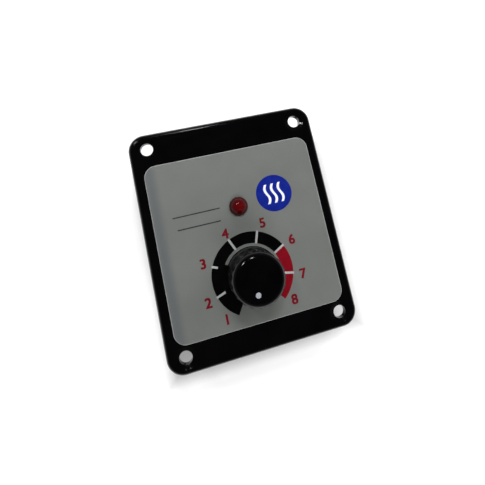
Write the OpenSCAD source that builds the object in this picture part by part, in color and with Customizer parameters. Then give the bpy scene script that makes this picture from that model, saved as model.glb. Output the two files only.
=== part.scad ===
// Timer and lamp panel of an impulse heat sealer. A moulded faceplate drops into a
// cut-out of the machine and carries the printed scale, the lamp, the time dial and,
// on posts behind it, the circuit board. A ventilated cover closes the back.
// Millimetres. The panel lies face up on its cover: +X is its right, +Y its top and
// +Z points out of its front. The origin is on the ground, under the middle.

/* [Faceplate] */
// Width of the faceplate, left to right
plate_w = 80; // [78:1:100]
// Height of the faceplate, bottom to top
plate_h = 97; // [95:1:120]
// Thickness of the faceplate
plate_t = 3.6; // [3.2:0.2:5]
// Radius of the faceplate's corners
plate_corner_r = 6.8; // [4:0.2:9]
// Radius of the rounded front edge
plate_edge_r = 1.4; // [0.6:0.2:1.6]

/* [Mounting holes] */
// Distance of a mounting hole from the faceplate's side edge
hole_inset_x = 7.5; // [7:0.25:8.5]
// Distance of a mounting hole from the faceplate's upper or lower edge
hole_inset_y = 6.5; // [6:0.25:7]
// Diameter of a mounting hole
hole_d = 5.2; // [3.5:0.1:5.6]
// Diameter of the shallow dish round a mounting hole
hole_dish_d = 8.4; // [6.5:0.1:9]
// Depth of the dish round a mounting hole
hole_dish_depth = 0.7; // [0.4:0.1:1.2]

/* [Scale label] */
// Width of the faceplate's bare border beside the label
label_margin_x = 4.5; // [3:0.5:8]
// Mean width of the faceplate's bare border above and below the label
label_margin_y = 12.5; // [11.5:0.5:15]
// Thickness of the scale label
label_t = 0.6; // [0.4:0.1:1.2]
// Radius of the label's corners
label_corner_r = 5; // [2:0.5:8]
// Radius of the label's rounded upper edge
label_edge_r = 0.3; // [0.1:0.05:0.35]
// Distance of the label's middle below the faceplate's middle
label_drop = 1.4; // [0:0.2:2]

/* [Lamp] */
// Height of the lamp above the faceplate's middle
lamp_y = 10.6; // [8:0.2:14]
// Diameter of the lamp's dome
lamp_d = 7.8; // [5:0.1:8.4]
// Height of the dome above the label
lamp_rise = 3.4; // [2.6:0.1:5]
// Diameter of the flange at the foot of the lamp
lamp_flange_d = 9.4; // [9:0.1:11]
// Thickness of the flange at the foot of the lamp
lamp_flange_t = 1.2; // [0.8:0.1:1.6]
// Distance between the lamp's two leads
lamp_lead_pitch = 2.54; // [2:0.01:3]
// Diameter of a lamp lead
lamp_lead_d = 0.6; // [0.4:0.05:0.8]

/* [Time dial] */
// Distance of the dial below the faceplate's middle
dial_drop = 17.5; // [15:0.5:18.5]
// Angle that the dial turns through, from stop to stop
dial_turn = 300; // [240:5:310]
// Angle of the marker at the start of its travel, clockwise from the dial's bottom
dial_start = 17.5; // [0:2.5:30]
// Diameter of the knob at its foot
knob_d = 21.4; // [20.6:0.2:26]
// Diameter of the knob at its upper rim
knob_top_d = 20.2; // [19:0.2:26]
// Height of the knob
knob_h = 17.5; // [14:0.5:22]
// Radius of the knob's rounded upper rim
knob_rim_r = 3.2; // [1:0.2:3.4]
// Number of grip flutes round the knob
knob_flutes = 20; // [12:1:24]
// Radius of one grip flute
knob_flute_r = 2.6; // [1.5:0.1:3]
// Depth of one grip flute
knob_flute_depth = 0.4; // [0.2:0.05:0.45]
// Height of the plain band under the flutes
knob_band_h = 5.5; // [2:0.5:8]
// Depth of the dish in the knob's top
knob_dish_depth = 0.5; // [0.3:0.1:1]
// Gap between the knob and the label under it
knob_gap = 0.8; // [0.5:0.1:2]
// Depth of the hollow under the knob that clears the nut
knob_hollow_depth = 5.2; // [4.8:0.1:5.6]
// Diameter of the white marker dot
marker_d = 2.3; // [1.5:0.1:2.8]
// Thickness of the marker dot
marker_t = 0.8; // [0.5:0.1:1.2]
// Distance of the marker dot from the knob's axis
marker_offset = 5.4; // [4.5:0.1:5.5]
// Diameter of the knob's brass insert
insert_d = 10; // [9:0.2:11]
// Diameter of the grub screw
grub_d = 3; // [2.5:0.1:3.5]

/* [Potentiometer] */
// Diameter of the potentiometer's can
pot_d = 24; // [22:0.5:25]
// Depth of the potentiometer behind the faceplate
pot_depth = 9.5; // [9:0.1:10]
// Wall of the can
pot_can_wall = 0.5; // [0.3:0.1:0.8]
// Diameter of the threaded bush
bush_d = 8; // [7.4:0.1:8.6]
// Length of the threaded bush in front of the mounting plate
bush_l = 8.8; // [8.2:0.1:9]
// Thickness of the mounting plate at the foot of the bush
pot_plate_t = 1.2; // [0.8:0.1:1.5]
// Diameter of the shaft
shaft_d = 6; // [5:0.1:6.2]
// Thickness of the shaft across its flat
shaft_across_flat = 4.5; // [4:0.1:5]
// Thickness of the insulating wafer that carries the track
wafer_t = 1.2; // [0.8:0.1:1.6]
// Distance across the flats of the hexagonal nut
nut_af = 12; // [11:0.5:12]
// Thickness of the nut
nut_t = 2; // [1.5:0.1:2.4]
// Outer diameter of the toothed lock washer
washer_d = 13; // [12:0.5:14]
// Thickness of the lock washer
washer_t = 0.5; // [0.4:0.1:0.8]
// Number of teeth round the lock washer
washer_teeth = 12; // [8:1:16]
// Width of a terminal lug
lug_w = 2; // [1.6:0.1:2.4]
// Thickness of a terminal lug
lug_t = 0.4; // [0.3:0.05:0.6]
// Distance between the terminal lugs
lug_pitch = 5; // [4.5:0.1:6]

/* [Circuit board] */
// Gap between the circuit board and the cover's side walls
board_side_gap = 2; // [1.5:0.1:2.5]
// Gap between the circuit board and the cover's upper and lower walls, past its screw tubes
board_end_gap = 9; // [8.8:0.1:9.5]
// Thickness of the circuit board
board_t = 1.6; // [1:0.1:2]
// Distance between the board and the back of the faceplate
board_standoff = 10.5; // [10.2:0.1:11]
// Distance of a board screw from the board's edges
board_screw_inset = 3.5; // [3:0.1:4]
// Diameter of a moulded post that carries the board
post_d = 6.4; // [5.5:0.1:7]

/* [Fasteners] */
// Diameter of a self-tapping screw's shank
screw_d = 2.6; // [2.2:0.1:2.8]
// Diameter of a screw's pan head
screw_head_d = 5.2; // [4.6:0.1:5.6]
// Height of a screw's pan head
screw_head_h = 1.9; // [1.5:0.1:2.2]
// Depth that a screw goes into its boss
screw_grip = 6; // [4:0.5:7]
// Length of the boss for a cover screw
boss_l = 8; // [7.5:0.5:9]

/* [Relay and capacitors] */
// Height of the relay, along the panel
relay_l = 15.5; // [13:0.5:16]
// Depth of the relay behind the board
relay_h = 15.2; // [12:0.1:15.6]
// Height of the film capacitor, along the panel
film_l = 8.5; // [6:0.5:9]
// Depth of the film capacitor behind the board
film_h = 14.4; // [11:0.1:15.6]
// Diameter of the smoothing capacitor
smoothing_d = 10; // [8:0.5:11]
// Length of the smoothing capacitor
smoothing_l = 14; // [11:0.5:15]
// Diameter of the timing capacitor
timing_d = 6.3; // [5:0.1:6.5]
// Length of the timing capacitor
timing_l = 11; // [9:0.5:14]

/* [Small components] */
// Number of resistors
resistor_count = 5; // [3:1:5]
// Diameter of a resistor's body
resistor_d = 2.4; // [1.8:0.1:2.5]
// Length of a resistor's body
resistor_l = 6.3; // [5:0.1:6.8]
// Number of rectifier diodes
diode_count = 4; // [2:1:4]
// Diameter of a diode's body
diode_d = 2.7; // [2:0.1:2.8]
// Length of a diode's body
diode_l = 5.2; // [4:0.1:6]
// Distance between the two leads of a resistor or diode
axial_pitch = 10; // [9:0.1:10.5]
// Diameter of a component lead
lead_d = 0.7; // [0.5:0.05:0.9]
// Length of a component lead on the far side of the board
lead_stub = 1; // [0.6:0.1:1.2]

/* [Terminals] */
// Number of blade terminals
blade_count = 5; // [3:1:5]
// Width of a blade
blade_w = 6.3; // [4.8:0.1:6.3]
// Thickness of a blade
blade_t = 0.8; // [0.5:0.1:1]
// Free length of a blade
blade_l = 8; // [6:0.5:9]
// Height of the moulded block that holds the blades
block_h = 8; // [6:0.5:9]
// Distance of the blades from the board's upper edge
block_inset = 6; // [5.5:0.5:6.5]

/* [Rear cover] */
// Width of the rear cover
cover_w = 64; // [63.5:0.5:65]
// Height of the rear cover, bottom to top
cover_h = 72; // [71:0.5:72]
// Depth of the rear cover, which is the panel's height above the ground
cover_depth = 32; // [31:0.5:36]
// Wall of the rear cover
cover_wall = 2; // [1.6:0.1:2.4]
// Thickness of the rear cover's base
cover_base_t = 2.2; // [1.8:0.1:2.6]
// Radius of the rear cover's upright corners
cover_corner_r = 4; // [3:0.5:5]
// Radius of the rear cover's rounded lower edge
cover_edge_r = 1.2; // [0.6:0.1:1.4]
// Height of the faceplate's ribs that centre the cover
rib_h = 3.5; // [2.5:0.5:5]
// Thickness of those ribs
rib_t = 1.6; // [1.2:0.1:2]
// Width of a vent slot
vent_w = 2.2; // [1.6:0.1:2.6]
// Length of a vent slot
vent_l = 12; // [8:0.5:14]
// Distance between vent slots
vent_pitch = 4.8; // [4.4:0.1:5.4]
// Number of vent slots in each side wall
side_vents = 8; // [4:1:8]
// Number of vent slots in the lower wall
end_vents = 7; // [4:1:7]

/* [Fits] */
// Gap between a pin, screw or component and its hole
fit_gap = 0.05; // [0.03:0.01:0.1]
// Gap between parts that slide or turn past each other
run_gap = 0.3; // [0.2:0.05:0.4]

/* [Hidden] */
$fn = 64;
eps = 0.01;

// Outlines that follow the faceplate
hole_pitch = [plate_w - 2 * hole_inset_x, plate_h - 2 * hole_inset_y];
label_w = plate_w - 2 * label_margin_x;
label_h = plate_h - 2 * label_margin_y;

// Levels above the ground
back_z = cover_depth;
face_z = back_z + plate_t;
label_z = face_z + label_t;
knob_z = label_z + knob_gap;
knob_top_z = knob_z + knob_h;
board_front_z = back_z - board_standoff;
board_back_z = board_front_z - board_t;
can_z = back_z - pot_depth;
wafer_front_z = back_z - pot_plate_t;
wafer_back_z = wafer_front_z - wafer_t;

// Potentiometer and knob, about the dial's axis
dial = [0, -dial_drop];
bush_top_z = back_z + bush_l;
nut_z = label_z + washer_t;
clip_t = 0.6;
clip_z = bush_top_z + fit_gap;
clip_d = shaft_d + 2;
groove_d = shaft_d - 1;
insert_z = knob_z + knob_hollow_depth;
knob_crown_t = 1.3;
knob_dish_edge_r = knob_top_d / 2 - knob_rim_r;
knob_dish_r = (pow(knob_dish_edge_r, 2) + pow(knob_dish_depth, 2)) / (2 * knob_dish_depth);
marker_top_z = knob_top_z + knob_dish_r - knob_dish_depth
    - sqrt(pow(knob_dish_r, 2) - pow(marker_offset + marker_d / 2, 2));
marker_z = marker_top_z - marker_t;
insert_l = knob_h - knob_hollow_depth - knob_dish_depth - knob_crown_t;
insert_flange_d = insert_d + 1;
insert_flange_t = 0.8;
shaft_top_z = insert_z + insert_l - run_gap;
flat_offset = shaft_across_flat - shaft_d / 2;
grub_z = insert_z + insert_l / 2;
grub_end_r = knob_top_d / 2 - 1;
grub_socket_depth = 1;
knob_hollow_d = 16.4;
rotor_t = 2;
rotor_r = 8;
rotor_z = wafer_back_z - run_gap - rotor_t;
arm_half_angle = 4;
stop_clearance = 1;
stop_half_angle = (360 - dial_turn) / 2 - arm_half_angle - stop_clearance;
stop_r = pot_d / 2 - pot_can_wall;
arm_r = stop_r - run_gap;
stop_depth = 2;
tail_w = 3 * lug_pitch + 1;
tail_l = 3.4;
lug_y = dial.y + pot_d / 2 + tail_l / 2;
key_r = 8.6;
key_size = [2.4, 1.2, 1.4];
nut_chamfer = 0.5;
washer_notch_depth = 0.9;
washer_notch_w = 0.8;

// Lamp
lamp = [0, lamp_y];
lamp_tip_z = label_z + lamp_rise;
lamp_foot_z = back_z - lamp_flange_t;
lamp_spacer_d = lamp_flange_d - 0.4;

// Board, posts and cover fixings
board_w = cover_w - 2 * cover_wall - 2 * board_side_gap;
board_h = cover_h - 2 * cover_wall - 2 * board_end_gap;
post_pitch = [board_w - 2 * board_screw_inset, board_h - 2 * board_screw_inset];
screw_hole_d = screw_d + 0.6;
screw_slot_l = screw_head_d * 0.6;
screw_slot_w = 0.8;
pilot_depth = screw_grip + 1;
head_hole_d = screw_head_d + 1;
tube_d = head_hole_d + 2.2;
tube_pitch = [cover_w - 2 * cover_wall - tube_d + 0.4, cover_h - 2 * cover_wall - tube_d + 0.4];
boss_d = tube_d - 1.4;
tube_top_z = back_z - boss_l;
tube_shelf_t = 6;
tube_shelf_z = tube_top_z - tube_shelf_t;
rib_clearance = 1;
vent_z = tube_shelf_z - 1;

// Places on the board's rear face. The relay fills the room between its left edge and
// the potentiometer's lugs. The round capacitors keep to its right edge, and the film
// capacitor fills the room between them. The diodes keep clear of the posts.
part_margin = 2.5;
part_gap = 2;
lug_gap = 0.5;
lead_gap = 0.3;
round_part_inset = 7;
ic_inset = 16;
ic_row_pitch = 7.62;
relay_w = board_w / 2 - part_margin - lug_pitch - lug_w / 2 - lug_gap;
film_w = board_w - relay_w - smoothing_d - 2 * part_margin - 2 * part_gap;
relay_at = [relay_w / 2 + part_margin - board_w / 2, board_h * 0.04];
film_at = [relay_at.x + relay_w / 2 + part_gap + film_w / 2, board_h * 0.06];
smoothing_at = [board_w / 2 - part_margin - smoothing_d / 2, board_h * 0.064];
timing_at = [board_w / 2 - round_part_inset, -board_h * 0.27];
transistor_at = [board_w / 2 - round_part_inset, -board_h * 0.126];
ic_at = [board_w / 2 - ic_inset, -board_h * 0.28];
low_row_y = relay_at.y - relay_l / 2 - part_gap;
axial_reach = (axial_pitch + lead_d) / 2;
diode_at = [(post_d - post_pitch.x) / 2 + lead_gap + axial_reach, low_row_y - diode_d / 2];
diode_step = board_h * 0.064;
ic_reach = (ic_row_pitch + lead_d) / 2;
resistor_at = [(diode_at.x + axial_reach + ic_at.x - ic_reach) / 2, low_row_y - resistor_d / 2];
resistor_step = board_h * 0.06;
block_y = board_h / 2 - block_inset;
blade_foot_y = blade_w / 2 - lead_d;
blade_chamfer = 1;
blade_hole_d = 1.6;
blade_hole_inset = 3.5;
case_corner_r = 1;
case_edge_r = 0.4;
relay_pin_inset = 2.2;
film_lead_inset = 1.5;
timing_lead_pitch = 2.5;
ic_size = [6.4, 9.4, 3.3];
ic_pin_pitch = 2.54;
ic_pin_t = 0.3;
ic_notch_r = 0.8;
ic_notch_depth = 0.4;
ic_lift = 0.4;
ic_pin_z = board_back_z - ic_lift - ic_size.z / 2;
transistor_r = 2.3;
transistor_flat = 1.2;
transistor_h = 4.6;
transistor_lift = 3;
can_lift = 0.4;
can_edge_r = 0.5;
can_groove_z = 1.8;
can_groove_r = 0.7;
can_groove_depth = 0.4;
axial_lift = 0.2;
axial_wire_d = lead_d - 0.1;
block_gap = 1.9;
block_end = 4;
block_w = post_pitch.x - screw_head_d - 2 * block_gap;
blade_pitch = (block_w - 2 * block_end) / (blade_count - 1);
block_t = 7.6;
blade_tip_z = board_back_z - block_h - blade_l;
window_margin = 3;
window_w = block_w + window_margin;
window_h = blade_w + 2 * window_margin;

// ---- Shared shapes ----

module at_corners(pitch) {
    for (sx = [-1, 1], sy = [-1, 1])
        translate([sx * pitch.x / 2, sy * pitch.y / 2]) children();
}

// Rectangle with round corners
module round_rect(w, h, r) {
    square([w - 2 * r, h], center = true);
    square([w, h - 2 * r], center = true);
    at_corners([w - 2 * r, h - 2 * r]) circle(r);
}

// Upright section of a slab whose two upper edges are rounded by e
module soft_section(w, t, e) {
    translate([-w / 2, 0]) square([w, t - e]);
    translate([e - w / 2, 0]) square([w - 2 * e, t]);
    for (s = [-1, 1]) translate([s * (w / 2 - e), t - e]) circle(e);
}

// Disc whose upper rim is rounded by e
module soft_disc(r, t, e) {
    rotate_extrude() {
        square([r, t - e]);
        square([r - e, t]);
        translate([r - e, t - e]) circle(e);
    }
}

// Slab with round corners of radius r, its upper edge rounded by e
module soft_slab(w, h, t, r, e) {
    at_corners([w - 2 * r, h - 2 * r]) soft_disc(r, t, e);
    rotate([90, 0, 0]) linear_extrude(h - 2 * r, center = true) soft_section(w, t, e);
    rotate([90, 0, 90]) linear_extrude(w - 2 * r, center = true) soft_section(h, t, e);
}

// Straight tube or hole along Z between two levels
module post(d, z0, z1) {
    translate([0, 0, z0]) cylinder(d = d, h = z1 - z0);
}

// Box between two levels, centred in plan
module block(w, h, z0, z1) {
    translate([-w / 2, -h / 2, z0]) cube([w, h, z1 - z0]);
}

// Pan-head screw, head at the bottom, its head's seat at level z
module pan_screw(z, grip) {
    post(screw_d, z, z + grip);
    translate([0, 0, z]) mirror([0, 0, 1]) difference() {
        soft_disc(screw_head_d / 2, screw_head_h, screw_head_h / 2 - fit_gap);
        for (a = [0, 90]) rotate(a)
            translate([0, 0, screw_head_h]) cube([screw_slot_l, screw_slot_w, screw_head_h], center = true);
    }
}

// ---- Front ----

module faceplate() {
    color("#141414") difference() {
        union() {
            translate([0, 0, back_z])
                soft_slab(plate_w, plate_h, plate_t, plate_corner_r, plate_edge_r);
            at_corners(post_pitch) post(post_d, board_front_z, back_z + eps);
            at_corners(tube_pitch) post(boss_d, tube_top_z, back_z + eps);
            centring_ribs();
        }
        at_corners(hole_pitch) {
            post(hole_d, back_z - 1, face_z + 1);
            translate([0, 0, face_z - hole_dish_depth])
                cylinder(d1 = hole_d, d2 = hole_dish_d, h = hole_dish_depth + eps);
        }
        translate(lamp) post(lamp_d + 2 * fit_gap, back_z - 1, face_z + 1);
        translate(dial) {
            post(bush_d + 2 * fit_gap, back_z - 1, face_z + 1);
            translate([0, -key_r, back_z]) block(key_size.x + 2 * fit_gap,
                key_size.y + 2 * fit_gap, -1, key_size.z + fit_gap);
        }
        at_corners(post_pitch) post(screw_d + 2 * fit_gap, board_front_z - 1, board_front_z + pilot_depth);
        at_corners(tube_pitch) post(screw_d + 2 * fit_gap, tube_top_z - 1, tube_top_z + pilot_depth);
    }
}

// Ribs behind the faceplate that centre the cover, clear of its corner tubes
module centring_ribs() {
    inner = [cover_w - 2 * cover_wall - 2 * fit_gap, cover_h - 2 * cover_wall - 2 * fit_gap];
    run = [for (p = tube_pitch) p - tube_d - 2 * rib_clearance];
    for (s = [-1, 1]) {
        translate([s * (inner.x - rib_t) / 2, 0]) block(rib_t, run[1], back_z - rib_h, back_z + eps);
        translate([0, s * (inner.y - rib_t) / 2]) block(run[0], rib_t, back_z - rib_h, back_z + eps);
    }
}

module scale_label() {
    color("#7c7e7a") difference() {
        translate([0, -label_drop, face_z])
            soft_slab(label_w, label_h, label_t, label_corner_r, label_edge_r);
        translate(lamp) post(lamp_d + 2 * fit_gap, face_z - 1, label_z + 1);
        translate(dial) post(bush_d + 2 * fit_gap, face_z - 1, label_z + 1);
    }
}

module lamp_lens() {
    color("#7a1018") translate(lamp) {
        post(lamp_flange_d, lamp_foot_z, back_z);
        translate([0, 0, back_z - eps]) rotate_extrude() lamp_section(lamp_tip_z - back_z + eps);
    }
}

// Half section of the lamp's body, a cylinder with a domed end
module lamp_section(h) {
    r = lamp_d / 2;
    rise = lamp_rise - label_t;
    dome_r = (r * r + rise * rise) / (2 * rise);
    square([r, h - rise]);
    intersection() {
        translate([0, h - dome_r]) circle(dome_r);
        translate([0, h - rise - eps]) square([r, rise + 2 * eps]);
    }
}

module lamp_leads() {
    color("silver") translate(lamp) lamp_lead_places()
        post(lamp_lead_d, board_back_z - lead_stub, lamp_foot_z);
}

module lamp_lead_places() {
    for (s = [-1, 1]) translate([s * lamp_lead_pitch / 2, 0]) children();
}

module lamp_spacer() {
    color("#e8e4d8") translate(lamp) difference() {
        post(lamp_spacer_d, board_front_z, lamp_foot_z);
        lamp_lead_places() post(lamp_lead_d + 2 * fit_gap, board_front_z - 1, lamp_foot_z + 1);
    }
}

// ---- Knob ----

// Turns what the grub screw lines up to the start of the marker's travel
module at_start() {
    translate(dial) rotate(-dial_start) children();
}

module knob() {
    color("#101010") at_start() difference() {
        translate([0, 0, knob_z]) rotate_extrude() knob_section();
        for (i = [0 : knob_flutes - 1]) rotate(i * 360 / knob_flutes) knob_flute();
        post(knob_hollow_d, knob_z - 1, insert_z);
        post(insert_d + 2 * fit_gap, insert_z - 1, insert_z + insert_l + fit_gap);
        post(insert_flange_d + 2 * fit_gap, insert_z - 1, insert_z + insert_flange_t + fit_gap);
        translate([0, 0, grub_z]) rotate([-90, 0, 0]) cylinder(d = grub_d + 2 * fit_gap, h = knob_d);
        translate([0, 0, knob_top_z + knob_dish_r - knob_dish_depth]) sphere(knob_dish_r, $fn = 96);
        translate([0, -marker_offset]) post(marker_d + 2 * fit_gap, marker_z, knob_top_z + 1);
    }
}

// Half section of the knob: a tapered side that runs into a rounded rim
module knob_section() {
    foot_r = knob_d / 2;
    top_r = knob_top_d / 2;
    polygon([[0, 0], [foot_r, 0], [top_r, knob_h - knob_rim_r],
        [top_r - knob_rim_r, knob_h], [0, knob_h]]);
    translate([top_r - knob_rim_r, knob_h - knob_rim_r]) circle(knob_rim_r);
}

// One grip flute, which starts above the knob's plain band and follows its taper
module knob_flute() {
    lean = atan((knob_d - knob_top_d) / 2 / (knob_h - knob_rim_r));
    translate([knob_d / 2 + knob_flute_r - knob_flute_depth, 0, knob_z])
        rotate([0, -lean, 0]) translate([0, 0, knob_band_h]) cylinder(r = knob_flute_r, h = knob_h, $fn = 24);
}

module knob_insert() {
    color("#b08d3c") at_start() difference() {
        union() {
            post(insert_d, insert_z, insert_z + insert_l);
            post(insert_flange_d, insert_z, insert_z + insert_flange_t);
        }
        post(shaft_d + 2 * fit_gap, insert_z - 1, insert_z + insert_l + 1);
        translate([0, 0, grub_z]) rotate([-90, 0, 0]) cylinder(d = grub_d + 2 * fit_gap, h = knob_d);
    }
}

module knob_grub_screw() {
    color("#2a2a2c") at_start() translate([0, 0, grub_z]) rotate([-90, 0, 0]) difference() {
        translate([0, 0, flat_offset + fit_gap]) cylinder(d = grub_d, h = grub_end_r - flat_offset);
        translate([0, 0, grub_end_r + fit_gap - grub_socket_depth])
            cylinder(d = grub_d / 2, h = grub_socket_depth + 1, $fn = 6);
    }
}

module knob_marker() {
    color("white") at_start() translate([0, -marker_offset]) post(marker_d, marker_z, marker_top_z);
}

// ---- Potentiometer ----

module pot_nut() {
    corner_r = nut_af / cos(30) / 2;
    color("silver") translate(dial) difference() {
        translate([0, 0, nut_z]) intersection() {
            cylinder(r = corner_r, h = nut_t, $fn = 6);
            cylinder(r1 = corner_r + nut_t - nut_chamfer, r2 = corner_r - nut_chamfer, h = nut_t);
        }
        post(bush_d + 2 * fit_gap, nut_z - 1, nut_z + nut_t + 1);
    }
}

module pot_lock_washer() {
    tooth = 360 / washer_teeth;
    color("#b8b8b4") translate([dial.x, dial.y, label_z]) linear_extrude(washer_t) difference() {
        circle(d = washer_d);
        circle(d = bush_d + 4 * fit_gap);
        for (i = [0 : washer_teeth - 1]) rotate(i * tooth)
            translate([washer_d / 2 - washer_notch_depth, -washer_notch_w / 2])
                square([2 * washer_notch_depth, washer_notch_w]);
    }
}

module pot_bush() {
    color("#a8a59a") translate(dial) difference() {
        union() {
            post(bush_d, back_z - eps, bush_top_z);
            post(pot_d - 2 * pot_can_wall, wafer_front_z, back_z);
            translate([0, -key_r, back_z]) block(key_size.x, key_size.y, -eps, key_size.z);
        }
        post(shaft_d + 2 * fit_gap, wafer_front_z - 1, bush_top_z + 1);
    }
}

// Steel cup round the wafer, with a stop lug that ends the wiper's travel
module pot_can() {
    color("#9a9c9e") translate(dial) {
        difference() {
            post(pot_d, can_z, back_z);
            post(2 * stop_r + 2 * eps, can_z + pot_can_wall, back_z + 1);
            translate([0, pot_d / 2]) block(tail_w + 2 * run_gap, pot_d / 2,
                wafer_back_z - lug_t - run_gap, back_z + 1);
        }
        translate([0, 0, can_z + pot_can_wall - eps]) intersection() {
            difference() {
                cylinder(r = stop_r + eps * 2, h = rotor_z + rotor_t - can_z - pot_can_wall);
                translate([0, 0, -1]) cylinder(r = stop_r - stop_depth, h = pot_depth);
            }
            sector(90, stop_half_angle, pot_d, pot_depth);
        }
    }
}

// Wedge about the Z axis, centred on one direction
module sector(direction, half_angle, reach, h) {
    linear_extrude(h) polygon([[0, 0], for (s = [-1, 1])
        reach * [cos(direction + s * half_angle), sin(direction + s * half_angle)]]);
}

module pot_track_wafer() {
    color("#6b4a2a") translate([dial.x, dial.y, wafer_back_z]) linear_extrude(wafer_t) difference() {
        union() {
            circle(r = stop_r - fit_gap);
            translate([-tail_w / 2, 0]) square([tail_w, pot_d / 2 + tail_l]);
        }
        circle(d = shaft_d + 2 * run_gap);
    }
}

module lug_places() {
    for (i = [-1 : 1]) translate([i * lug_pitch, lug_y]) children();
}

// Lugs riveted under the wafer's tail and bent down through the board
module pot_terminals() {
    color("#c9c4b4") lug_places() {
        block(lug_w, tail_l - 0.6, wafer_back_z - lug_t, wafer_back_z);
        block(lug_w, lug_t, board_back_z - lead_stub, wafer_back_z);
    }
}

module pot_shaft() {
    color("#c6c6c4") at_start() difference() {
        post(shaft_d, rotor_z + run_gap, shaft_top_z);
        translate([0, flat_offset + shaft_d / 2]) block(shaft_d + 1, shaft_d,
            insert_z - fit_gap, shaft_top_z + 1);
        translate([0, 0, clip_z - fit_gap]) difference() {
            cylinder(d = shaft_d + 1, h = clip_t + 2 * fit_gap);
            translate([0, 0, -1]) cylinder(d = groove_d, h = clip_t + 3);
        }
    }
}

// Snap ring in the shaft's groove, open towards the dial's left
module pot_shaft_clip() {
    color("#8f8f8c") translate([dial.x, dial.y, clip_z]) linear_extrude(clip_t) difference() {
        circle(d = clip_d);
        circle(d = groove_d + 2 * fit_gap);
        translate([-clip_d, -groove_d / 3]) square([clip_d, groove_d * 2 / 3]);
    }
}

// Nylon rotor on the shaft's foot, with a contact arm that sweeps the track
module pot_wiper() {
    rest_angle = 90 - (360 - dial_turn) / 2;
    color("#d8d2c0") translate([dial.x, dial.y, rotor_z]) difference() {
        union() {
            cylinder(r = rotor_r, h = rotor_t);
            intersection() {
                cylinder(r = arm_r, h = rotor_t);
                sector(rest_angle, arm_half_angle, pot_d, rotor_t);
            }
        }
        translate([0, 0, run_gap - fit_gap]) cylinder(d = shaft_d + 2 * fit_gap, h = rotor_t);
    }
}

// ---- Circuit board ----

module circuit_board() {
    color("#1f5a35") difference() {
        block(board_w, board_h, board_back_z, board_front_z);
        at_corners(post_pitch) post(screw_hole_d, board_back_z - 1, board_front_z + 1);
        board_lead_holes();
        lug_places() block(lug_w + 4 * fit_gap, lug_t + 4 * fit_gap, board_back_z - 1, board_front_z + 1);
        translate(lamp) lamp_lead_places()
            post(lamp_lead_d + 4 * fit_gap, board_back_z - 1, board_front_z + 1);
    }
}

module board_lead_holes() {
    leads = concat(relay_pins(), film_leads(), smoothing_leads(), timing_leads(),
        transistor_leads(), ic_leads(), diode_leads(), resistor_leads(), blade_feet());
    for (p = leads) translate(p) post(lead_d + 4 * fit_gap, board_back_z - 1, board_front_z + 1);
}

module board_screws() {
    color("#b9b9b6") at_corners(post_pitch) pan_screw(board_back_z, board_t + screw_grip);
}

// A row of leads through the board, each with a stub on the far side
module leads(places, z = board_back_z) {
    for (p = places) translate(p) post(lead_d, z, board_front_z + lead_stub);
}

function pair(at, pitch) = [at - [pitch / 2, 0], at + [pitch / 2, 0]];
function relay_pins() = concat([relay_at - [relay_w / 2 - case_corner_r, 0]],
    [for (x = [-1, 1], y = [-1, 1])
        relay_at + [x * (relay_w / 2 - relay_pin_inset), y * (relay_l / 2 - relay_pin_inset)]]);
function film_leads() = pair(film_at, film_w - 2 * film_lead_inset);
function smoothing_leads() = pair(smoothing_at, smoothing_d / 2);
function timing_leads() = pair(timing_at, timing_lead_pitch);
function transistor_leads() = [for (i = [-1 : 1]) transistor_at + [i * ic_pin_pitch / 2, 0]];
function ic_leads() = [for (s = [-1, 1], i = [0 : 3])
    ic_at + [s * ic_row_pitch / 2, (i - 1.5) * ic_pin_pitch]];
function diode_places() = [for (i = [0 : diode_count - 1]) diode_at - [0, i * diode_step]];
function diode_leads() = [for (p = diode_places(), q = pair(p, axial_pitch)) q];
function resistor_places() = [for (i = [0 : resistor_count - 1]) resistor_at - [0, i * resistor_step]];
function resistor_leads() = [for (p = resistor_places(), q = pair(p, axial_pitch)) q];
function blade_places() = [for (i = [0 : blade_count - 1])
    [(i - (blade_count - 1) / 2) * blade_pitch, block_y]];
function blade_feet() = [for (p = blade_places(), s = [-1, 1]) p + [0, s * blade_foot_y]];

module relay() {
    color("#2459a8") {
        translate([relay_at.x, relay_at.y, board_back_z]) mirror([0, 0, 1])
            soft_slab(relay_w, relay_l, relay_h, case_corner_r, case_edge_r);
        leads(relay_pins());
    }
}

module film_capacitor() {
    color("#b3302a") {
        translate([film_at.x, film_at.y, board_back_z]) mirror([0, 0, 1])
            soft_slab(film_w, film_l, film_h, case_corner_r, case_edge_r);
        leads(film_leads());
    }
}

// Upright electrolytic capacitor: a sleeved can rolled in above its rubber end
module can_capacitor(at, d, l, lead_places) {
    translate([at.x, at.y, board_back_z - can_lift]) mirror([0, 0, 1]) rotate_extrude() difference() {
        union() {
            square([d / 2 - can_edge_r, l]);
            square([d / 2, l - can_edge_r]);
            translate([d / 2 - can_edge_r, l - can_edge_r]) circle(can_edge_r);
        }
        translate([d / 2 + can_groove_r - can_groove_depth, can_groove_z]) circle(can_groove_r, $fn = 24);
    }
    leads(lead_places, board_back_z - can_lift - eps);
}

module smoothing_capacitor() {
    color("#1d2a4a") can_capacitor(smoothing_at, smoothing_d, smoothing_l, smoothing_leads());
}

module timing_capacitor() {
    color("#1d1d22") can_capacitor(timing_at, timing_d, timing_l, timing_leads());
}

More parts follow.
